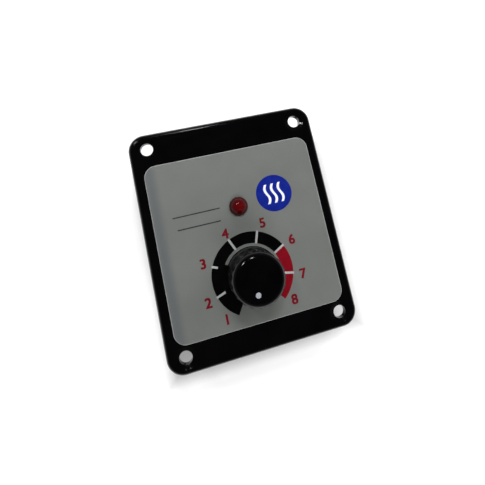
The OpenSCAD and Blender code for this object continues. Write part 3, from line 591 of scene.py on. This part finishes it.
def resistor_lacquer():
    """Baked tan lacquer with colour bands 0.5 mm wide, and tinned wire beyond the body's ends."""
    material, tree, shader, place = new_material("baked tan lacquer with bands", {})
    along = add(tree, "SeparateXYZ", links={"Vector": place})

    # Where the bodies begin and end, across the panel
    left_end, right_end = -4.38, 1.92
    share = add(tree, "MapRange", {"From Min": left_end * MM, "From Max": right_end * MM, "clamp": False},
                {"Value": along.outputs["X"]})
    skin = add(tree, "TexNoise", {"Scale": per_mm(0.5), "Detail": 2.0}, {"Vector": place})
    bands = add(tree, "ValToRGB", links={0: share.outputs["Result"]})
    bands.color_ramp.interpolation = "CONSTANT"
    stops = ((0.01, "#c6a56e"), (0.16, "#6b3a1a"), (0.24, "#c6a56e"), (0.36, "#151515"), (0.44, "#c6a56e"),
             (0.56, "#b98a1c"), (0.64, "#c6a56e"), (0.82, "#a58a3c"), (0.9, "#c6a56e"), (0.99, "#b9bab8"))
    bands.color_ramp.elements[0].color = linear("#b9bab8")
    bands.color_ramp.elements.remove(bands.color_ramp.elements[1])
    for position, code in stops:
        bands.color_ramp.elements.new(position).color = linear(code)
    gloss = add(tree, "MapRange", {"To Min": 0.25, "To Max": 0.4}, {"Value": skin.outputs["Fac"]})
    tree.links.new(bands.outputs["Color"], shader.inputs["Base Color"])
    tree.links.new(gloss.outputs["Result"], shader.inputs["Roughness"])
    return material


# Printed inks: dense black, two bluish reds, deep blue, white, a dark grey and a pale one
black_ink = printed("black screen ink", "#020202", "#050506", 0.28)
red_ink = printed("red screen ink", "#6b0814", "#790c1a", 0.3)
figure_ink = printed("dark red screen ink", "#5f0b18", "#6d0f1e", 0.32)
blue_ink = printed("blue screen ink", "#0a1a74", "#122484", 0.34)
white_ink = printed("white screen ink", "#e6e8ee", "#d4d8e4", 0.4)
grey_ink = printed("dark grey screen ink", "#2c2e30", "#3a3c3e", 0.42)
bare_tick = printed("pale grey screen ink", "#989a9a", "#a8aaaa", 0.42)

label_face = label_lacquer()
lamp_red = lamp_polycarbonate()

cad_finishes = {
    "lamp_leads": tinned_wire,
    "lamp_spacer": natural_nylon,
    "knob_insert": turned_brass,
    "knob_grub_screw": blackened_steel,
    "pot_nut": zinc_plated,
    "pot_lock_washer": zinc_plated,
    "pot_bush": cast_zinc,
    "pot_can": zinc_plated,
    "pot_track_wafer": phenolic_paper,
    "pot_terminals": tinned_brass,
    "pot_shaft": turned_aluminium,
    "pot_shaft_clip": spring_steel,
    "pot_wiper": phenolic_paper,
    "circuit_board": board_laminate(),
    "board_screws": zinc_plated,
    "relay": relay_polyester,
    "film_capacitor": film_case,
    "smoothing_capacitor": capacitor_sleeve("shrunk PVC on the smoothing can", foot("smoothing_capacitor")),
    "timing_capacitor": capacitor_sleeve("shrunk PVC on the timing can", foot("timing_capacitor")),
    "timer_ic": moulded_epoxy,
    "driver_transistor": moulded_epoxy,
    "rectifier_diodes": moulded_epoxy,
    "resistors": resistor_lacquer(),
    "terminal_block": natural_nylon,
    "blade_terminals": tinned_brass,
    "rear_cover": cover_abs,
    "cover_screws": zinc_plated,
}
for node, material in cad_finishes.items():
    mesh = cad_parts[node].data
    mesh.materials.clear()
    mesh.materials.append(material)


# ---- Faceplate ----

def hole_tool(at):
    """What a mounting hole takes out: the hole, its dish and a softly rounded lip."""
    section = [(0, BACK_Z - PAST), (HOLE_R, BACK_Z - PAST), (HOLE_R, FACE_Z - DISH_DEPTH)]
    section += [(DISH_R + out, FACE_Z + up) for out, up in LIP]
    section += [(DISH_R + LIP[-1][0], FACE_Z + PAST), (0, FACE_Z + PAST)]
    return turned(section, at)


plate = slab(PLATE, BACK_Z, FACE_Z, PLATE_CORNER, PLATE_EDGE, segments=8)
behind = [cylinder(POST_R, POST_FOOT_Z, BACK_Z + SINK, at) for at in corners(POST_PITCH)]
behind += [cylinder(BOSS_R, BOSS_FOOT_Z, BACK_Z + SINK, at) for at in corners(BOSS_PITCH)]
rib_z = BACK_Z - (RIB_H - SINK) / 2
for side in (-1, 1):
    behind.append(block((RIB_T, RIB_RUN[1], RIB_H + SINK), (side * (COVER_INSIDE[0] - RIB_T) / 2, 0, rib_z)))
    behind.append(block((RIB_RUN[0], RIB_T, RIB_H + SINK), (0, side * (COVER_INSIDE[1] - RIB_T) / 2, rib_z)))
plate = machined(plate, together(behind), "UNION")
holes = [hole_tool(at) for at in corners(HOLE_PITCH)]
holes += [cylinder(PILOT_R, POST_FOOT_Z - PAST, POST_FOOT_Z + PILOT_DEPTH, at) for at in corners(POST_PITCH)]
holes += [cylinder(PILOT_R, BOSS_FOOT_Z - PAST, BOSS_FOOT_Z + PILOT_DEPTH, at) for at in corners(BOSS_PITCH)]
holes.append(cylinder(LAMP_R + FIT, BACK_Z - PAST, FACE_Z + PAST, LAMP_AT))
holes.append(cylinder(BUSH_R + FIT, BACK_Z - PAST, FACE_Z + PAST, DIAL_AT))
key_z = BACK_Z + (KEY_DEPTH - PAST) / 2
holes.append(block((*KEY_SLOT, KEY_DEPTH + PAST), (0, DIAL_AT[1] - KEY_REACH, key_z)))
plate = machined(plate, together(holes), "DIFFERENCE")
finished("faceplate_moulding", plate, "panel", faceplate_abs, ("faceplate",),
         sharp=24, weighted=True)


# ---- Scale label ----

label = slab(LABEL, FACE_Z, LABEL_Z, LABEL_CORNER, LABEL_EDGE, (0, -LABEL_DROP), segments=4)
label_holes = together([cylinder(LAMP_R + FIT, FACE_Z - PAST, LABEL_Z + PAST, LAMP_AT),
                        cylinder(BUSH_R + FIT, FACE_Z - PAST, LABEL_Z + PAST, DIAL_AT)])
label = machined(label, label_holes, "DIFFERENCE")
finished("scale_label_plate", label, "panel", label_face, ("scale_label",),
         sharp=32, weighted=True)


# ---- Print on the label ----

def around_dial(radius, angle):
    """A place on the dial, with its angle in degrees clockwise from the bottom."""
    turn = math.radians(angle)
    return (DIAL_AT[0] - radius * math.sin(turn), DIAL_AT[1] - radius * math.cos(turn))


def raise_ink(shape):
    """Gives flat print the thickness of its ink."""
    lifted = bmesh.ops.extrude_face_region(shape, geom=shape.faces[:])
    tops = [g for g in lifted["geom"] if isinstance(g, bmesh.types.BMVert)]
    bmesh.ops.translate(shape, vec=(0, 0, INK), verts=tops)
    bmesh.ops.recalc_face_normals(shape, faces=shape.faces)
    return shape


def one_print(prints):
    """Joins prints of one ink that overlap, and clears away the slivers that this leaves."""
    whole = prints[0]
    for more in prints[1:]:
        whole = machined(whole, more, "UNION", "MANIFOLD")
    bmesh.ops.dissolve_limit(whole, angle_limit=math.radians(1), verts=whole.verts[:], edges=whole.edges[:])
    bmesh.ops.remove_doubles(whole, verts=whole.verts, dist=0.002)
    return whole


def ring_band(start, end, inner=RING_IN, outer=RING_OUT):
    """Part of the dial's printed ring, from one angle on to another, with a step for every 2 degrees."""
    shape = bmesh.new()
    ends = [shape.verts.new((*around_dial(r, start), LABEL_Z)) for r in (inner, outer)]
    shape.edges.new(ends)
    bmesh.ops.spin(shape, geom=shape.verts[:] + shape.edges[:], cent=(*DIAL_AT, 0), axis=(0, 0, -1),
                   angle=math.radians(end - start), steps=round((end - start) / 2))
    return raise_ink(shape)


def tick(angle, inner):
    """A pale stroke on top of the ring, from a radius out to its rim."""
    start = inner - TICK_OVER[0]
    end = RING_OUT + TICK_OVER[1]
    middle = around_dial((start + end) / 2, angle)
    return block((TICK_W, end - start, INK), (*middle, LABEL_Z + INK + INK / 2), -math.radians(angle))


def figure(text, centre, height):
    """A light printed figure of the given height."""
    curve = bpy.data.curves.new("figure", "FONT")
    curve.body = text
    curve.resolution_u = 8
    letter = bpy.data.objects.new("figure", curve)
    bpy.context.scene.collection.objects.link(letter)
    bpy.context.view_layer.update()
    mesh = bpy.data.meshes.new_from_object(letter.evaluated_get(bpy.context.evaluated_depsgraph_get()))
    shape = bmesh.new()
    shape.from_mesh(mesh)
    bpy.data.objects.remove(letter)
    bpy.data.curves.remove(curve)
    bpy.data.meshes.remove(mesh)
    bmesh.ops.remove_doubles(shape, verts=shape.verts, dist=1e-5)
    low = Vector([min(v.co[i] for v in shape.verts) for i in range(3)])
    high = Vector([max(v.co[i] for v in shape.verts) for i in range(3)])
    size = height / (high.y - low.y)
    bmesh.ops.translate(shape, vec=-(low + high) / 2, verts=shape.verts)
    bmesh.ops.scale(shape, vec=(size, size, 1), verts=shape.verts)
    bmesh.ops.translate(shape, vec=(*centre, LABEL_Z), verts=shape.verts)
    return raise_ink(shape)


def bold_figure(text, centre, height):
    """A bold figure: four light ones set a little apart and joined."""
    return one_print([figure(text, (centre[0] + x, centre[1] + y), height - BOLD[1])
                      for x, y in corners(BOLD)])


def heat_stroke(x, y):
    """A wavy stroke, as in a sign for heat, drawn from its foot to its top."""
    shape = bmesh.new()
    ends = [(x + side * STROKE_W / 2, y - STROKE_H / 2, LABEL_Z + INK) for side in (-1, 1)]
    rung = shape.edges.new([shape.verts.new(end) for end in ends])
    steps = 24
    for i in range(steps):
        grown = bmesh.ops.extrude_edge_only(shape, edges=[rung])["geom"]
        rung = [g for g in grown if isinstance(g, bmesh.types.BMEdge)][0]
        aside = STROKE_SWING * (math.sin(math.tau * (i + 1) / steps) - math.sin(math.tau * i / steps))
        bmesh.ops.translate(shape, vec=(aside, STROKE_H / steps, 0), verts=list(rung.verts))
    return raise_ink(shape)


# The last band is a painted shadow all round the knob's foot
ring_print_and_shadow_bands = [ring_band(RING_ENDS[0], WIDE_END, WIDE_IN), ring_band(WIDE_END - LAP, RING_ENDS[1]),
               ring_band(WIDE_END - LAP, RING_ENDS[0] + 360 + LAP, WIDE_IN, WIDE_RIM)]
finished("scale_ring_black_and_painted_shadow", one_print(ring_print_and_shadow_bands), "panel", black_ink)
finished("scale_ring_red", ring_band(RING_ENDS[1], RING_ENDS[2]), "panel", red_ink)
finished("scale_ticks", together([tick(angle, inner) for angle, inner in TICKS.items()]),
         "panel", bare_tick)
finished("scale_figures", together([bold_figure(text, place, FIGURE_H) for text, place in FIGURES.items()]),
         "panel", figure_ink)

disc = cylinder(DISC_R, LABEL_Z, LABEL_Z + INK, DISC_AT, 96)
finished("heat_sign_disc", disc, "panel", blue_ink)
strokes = [heat_stroke(DISC_AT[0] + i * STROKE_PITCH, DISC_AT[1]) for i in (-1, 0, 1)]
finished("heat_sign_strokes", together(strokes), "panel", white_ink)

rules = [block((length, RULE_T, INK), (*middle, LABEL_Z + INK / 2)) for length, middle in RULES]
finished("printed_rules", together(rules), "panel", grey_ink)


# ---- Lamp ----

dome_r = cap_radius(LAMP_R, LAMP_DOME)
dome_edge = math.degrees(math.asin((dome_r - LAMP_DOME) / dome_r))
dome = arc((0, LAMP_TIP_Z - dome_r), dome_r, dome_edge, 90, 16)
lamp_section = [(0, LAMP_FOOT_Z), (LAMP_FLANGE_R, LAMP_FOOT_Z), (LAMP_FLANGE_R, BACK_Z), (LAMP_R, BACK_Z)]
lamp_section += dome[:-1] + [(0, LAMP_TIP_Z)]
finished("lamp_dome", turned(lamp_section, LAMP_AT, 96), "panel", lamp_red, ("lamp_lens",))


# ---- Knob ----

def side_radius(z):
    """Radius of the knob's tapered side, which runs on above the rim."""
    return KNOB_FOOT_R - (KNOB_FOOT_R - KNOB_TOP_R) * (z - KNOB_Z) / (KNOB_H - KNOB_RIM)


def soft_least(a, b, reach):
    """The lesser of two radii, with the corner between them rounded off."""
    share = max(reach - abs(a - b), 0) / reach
    return min(a, b) - share * share * reach / 4


def flute(point):
    """Where a point of the knob's side goes when its grip flutes are cut."""
    radius = math.hypot(point.x, point.y)
    above = (point.z - KNOB_Z - KNOB_BAND) / FLUTE_RUN_OUT
    if radius < KNOB_TOP_R - KNOB_RIM or above <= 0:
        return point
    pitch = math.tau / FLUTES
    off = (math.atan2(point.y, point.x) + pitch / 2) % pitch - pitch / 2
    reach = side_radius(point.z) + FLUTE_R - FLUTE_DEPTH
    aside = reach * math.sin(off)
    if abs(aside) >= FLUTE_R:
        return point
    floor = reach * math.cos(off) - math.sqrt(FLUTE_R ** 2 - aside ** 2)
    share = min(above, 1)
    cut = soft_least(radius, floor, FLUTE_SOFT)
    moved = radius + (cut - radius) * share * share * (3 - 2 * share)
    return Vector((point.x * moved / radius, point.y * moved / radius, point.z))


top_z = KNOB_Z + KNOB_H
rim_in = KNOB_TOP_R - KNOB_RIM
dish_r = cap_radius(rim_in, KNOB_DISH)

# Half of the knob's section, from the insert's seat down the hollow and up the outside. The levels of the
# side lie closest where the flutes run out.
knob_section = [(0, INSERT_TOP_Z + FIT), (INSERT_R + FIT, INSERT_TOP_Z + FIT),
                (INSERT_R + FIT, INSERT_Z + INSERT_FLANGE_T + FIT),
                (INSERT_FLANGE_R + FIT, INSERT_Z + INSERT_FLANGE_T + FIT), (INSERT_FLANGE_R + FIT, INSERT_Z),
                (HOLLOW_R, INSERT_Z), (HOLLOW_R, KNOB_Z), (KNOB_FOOT_R - KNOB_FOOT_ROUND, KNOB_Z),
                (KNOB_FOOT_R - KNOB_FOOT_ROUND * 0.3, KNOB_Z + KNOB_FOOT_ROUND * 0.3)]
side_levels = [KNOB_FOOT_ROUND, 2.0, 4.0, 5.3, 5.5, 5.7, 5.9, 6.1, 6.4, 7.0, 8.5, 10.0, 11.5, 13.0, 14.0]
knob_section += [(side_radius(KNOB_Z + z), KNOB_Z + z) for z in side_levels]
knob_section += arc((rim_in, top_z - KNOB_RIM), KNOB_RIM, 0, 86, 14)
knob_section += [(rim_in - DISH_EASE[0], top_z - DISH_EASE[1])]
for share in (0.9, 0.75, 0.6, 0.45, 0.3, 0.15):
    r = rim_in * share
    knob_section.append((r, top_z - KNOB_DISH + dish_r - math.sqrt(dish_r ** 2 - r ** 2)))
knob_section.append((0, top_z - KNOB_DISH))

knob = turned(knob_section, steps=16 * FLUTES)
for vert in knob.verts:
    vert.co = flute(vert.co)
recess = cylinder(MARKER_R + FIT, MARKER_TOP_Z - MARKER_T, top_z + PAST, MARKER_AT)
grub_hole = cylinder(GRUB_R, GRUB_FROM, KNOB_FOOT_R + PAST, (0, 0), 48)
bmesh.ops.rotate(grub_hole, cent=(0, 0, 0), matrix=Matrix.Rotation(-math.pi / 2, 3, "X"),
                 verts=grub_hole.verts)
bmesh.ops.translate(grub_hole, vec=(0, 0, GRUB_Z), verts=grub_hole.verts)
knob = machined(knob, together([recess, grub_hole]), "DIFFERENCE")


def on_dial(shape):
    """Turns a shape to the dial's start and sets it on the dial's axis."""
    bmesh.ops.rotate(shape, cent=(0, 0, 0), matrix=Matrix.Rotation(-math.radians(DIAL_START), 3, "Z"),
                     verts=shape.verts)
    bmesh.ops.translate(shape, vec=(*DIAL_AT, 0), verts=shape.verts)
    return shape


finished("knob_moulding", on_dial(knob), "dial", knob_phenolic(), ("knob",), sharp=40)

marker_section = [(0, MARKER_TOP_Z - MARKER_T), (MARKER_R, MARKER_TOP_Z - MARKER_T)]
marker_section += arc((MARKER_R - MARKER_ROUND, MARKER_TOP_Z - MARKER_ROUND), MARKER_ROUND, 0, 90, 4)
marker_section += [(0, MARKER_TOP_Z)]
marker = turned(marker_section, MARKER_AT, 64)
finished("marker_dot", on_dial(marker), "dial", marker_white, ("knob_marker",))


# ---- Floor, light and camera ----

# The patch of floor, set where the panel's shadow falls, that is left without the white glow as painted
# shade, and the width of its soft border
SHADE = (96.0, 98.0)
SHADE_AT = (5.0, -13.0, 0.0)
SHADE_BORDER = 8.0

# Elsewhere the paper is lifted to white: how strongly, and over what distance, in metres, that grows
LIFT = (0.55, 1.0)
LIFT_REACH = (0.15, 0.9)

# How bright the room is at the horizon and overhead
ROOM = (0.26, 0.03)

# What the lamps aim at, in metres
AIM = Vector((0, 0, 0.035))


def floor_paper():
    """Matt white paper, lifted to white where it is seen, except in a patch where the panel's shadow falls,
    left darker as painted shade.
    """
    material = bpy.data.materials.new("matt white paper")
    material.use_nodes = True
    tree = material.node_tree
    tree.nodes.clear()
    place = add(tree, "TexCoord").outputs["Object"]
    fibre = add(tree, "TexNoise", {"Scale": per_mm(3)}, {"Vector": place})
    tone = add(tree, "ValToRGB", links={0: fibre.outputs["Fac"]})
    tone.color_ramp.elements[0].color = linear("#c2c2c2")
    tone.color_ramp.elements[1].color = linear("#c8c8c8")
    lit = add(tree, "BsdfDiffuse", links={"Color": tone.outputs["Color"]})
    ray = add(tree, "LightPath")
    seen = add(tree, "Math", {"operation": "MAXIMUM"},
               {0: ray.outputs["Is Camera Ray"], 1: ray.outputs["Is Glossy Ray"]})
    through = add(tree, "Math", {"operation": "MAXIMUM"},
                  {0: seen.outputs["Value"], 1: ray.outputs["Is Transmission Ray"]})
    # Painted shade: no glow in the patch where the panel's shadow falls
    off = add(tree, "Mapping", {"Location": [-c * MM for c in SHADE_AT]}, {"Vector": place})
    apart = add(tree, "SeparateXYZ", links={"Vector": off.outputs["Vector"]})
    across = add(tree, "Math", {"operation": "ABSOLUTE"}, {0: apart.outputs["X"]})
    along = add(tree, "Math", {"operation": "ABSOLUTE"}, {0: apart.outputs["Y"]})
    past_side = add(tree, "MapRange", {"From Min": (SHADE[0] - SHADE_BORDER) / 2 * MM,
                                       "From Max": (SHADE[0] + SHADE_BORDER) / 2 * MM},
                    {"Value": across.outputs["Value"]})
    past_end = add(tree, "MapRange", {"From Min": (SHADE[1] - SHADE_BORDER) / 2 * MM,
                                      "From Max": (SHADE[1] + SHADE_BORDER) / 2 * MM},
                   {"Value": along.outputs["Value"]})
    clear = add(tree, "Math", {"operation": "MAXIMUM"},
                {0: past_side.outputs["Result"], 1: past_end.outputs["Result"]})
    shown = add(tree, "Math", {"operation": "MULTIPLY"},
                {0: through.outputs["Value"], 1: clear.outputs["Value"]})
    away = add(tree, "VectorMath", {"operation": "LENGTH"}, {0: place})
    gain = add(tree, "MapRange", {"From Min": LIFT_REACH[0], "From Max": LIFT_REACH[1],
                                  "To Min": LIFT[0], "To Max": LIFT[1]}, {"Value": away.outputs["Value"]})
    lift = add(tree, "Math", {"operation": "MULTIPLY"},
               {0: shown.outputs["Value"], 1: gain.outputs["Result"]})
    glow = add(tree, "Emission", links={"Strength": lift.outputs["Value"]})
    both = add(tree, "AddShader", links={0: lit.outputs["BSDF"], 1: glow.outputs["Emission"]})
    add(tree, "OutputMaterial", links={"Surface": both.outputs["Shader"]})
    return material


floor_shape = bmesh.new()
bmesh.ops.create_grid(floor_shape, x_segments=1, y_segments=1, size=2.0)
floor = plain_object("floor", floor_shape)
floor.data.materials.append(floor_paper())

world = bpy.data.worlds.new("studio")
bpy.context.scene.world = world
world.use_nodes = True
sky = world.node_tree
sky.nodes.clear()
way = add(sky, "TexCoord").outputs["Generated"]
up = add(sky, "SeparateXYZ", links={"Vector": way})
overhead = add(sky, "MapRange", {"interpolation_type": "SMOOTHSTEP", "From Min": 0.1, "From Max": 0.7,
                                 "To Min": ROOM[0], "To Max": ROOM[1]}, {"Value": up.outputs["Z"]})
ray = add(sky, "LightPath")
level = add(sky, "Mix", {"data_type": "FLOAT", "B": 1.0},
            {"Factor": ray.outputs["Is Camera Ray"], "A": overhead.outputs["Result"]})
air = add(sky, "Background", {"Color": (1, 1, 1, 1)}, {"Strength": level.outputs[0]})
add(sky, "OutputWorld", links={"Surface": air.outputs["Background"]})


def softbox(name, place, size, watts, mirrored=True):
    """A soft lamp aimed at the panel. One that isn't mirrored leaves the panel's gloss black."""
    light = bpy.data.lights.new(name, "AREA")
    light.shape = "RECTANGLE"
    light.size = size[0]
    light.size_y = size[1]
    light.energy = watts
    holder = bpy.data.objects.new(name, light)
    bpy.context.scene.collection.objects.link(holder)
    holder.location = place
    holder.visible_glossy = mirrored
    holder.rotation_euler = (AIM - Vector(place)).to_track_quat("-Z", "Y").to_euler()


softbox("left key", (-0.42, 0.62, 1.0), (0.12, 0.12), 2.2)
softbox("right key", (0.02, 0.75, 1.1), (0.1, 0.12), 2.0)
softbox("top fill", (0.15, 0.75, 1.15), (0.4, 0.25), 8.4, False)
softbox("right fill", (0.8, 0.3, 0.95), (0.9, 0.9), 7.4, False)
softbox("front fill", (0.0, -0.9, 0.9), (0.7, 0.4), 8.4, False)

camera_data = bpy.data.cameras.new("camera")
camera_data.sensor_width = 36
camera_data.lens = 29.358
camera_data.shift_x = -0.05
camera_data.shift_y = -0.2
camera_data.clip_start = 0.01
camera = bpy.data.objects.new("camera", camera_data)
bpy.context.scene.collection.objects.link(camera)
camera.location = (-0.01715, 0.01020, 0.20456)
camera.rotation_euler = [math.radians(a) for a in (10.174, -9.669, -13.109)]
bpy.context.scene.camera = camera

bpy.context.scene.view_settings.view_transform = "Standard"
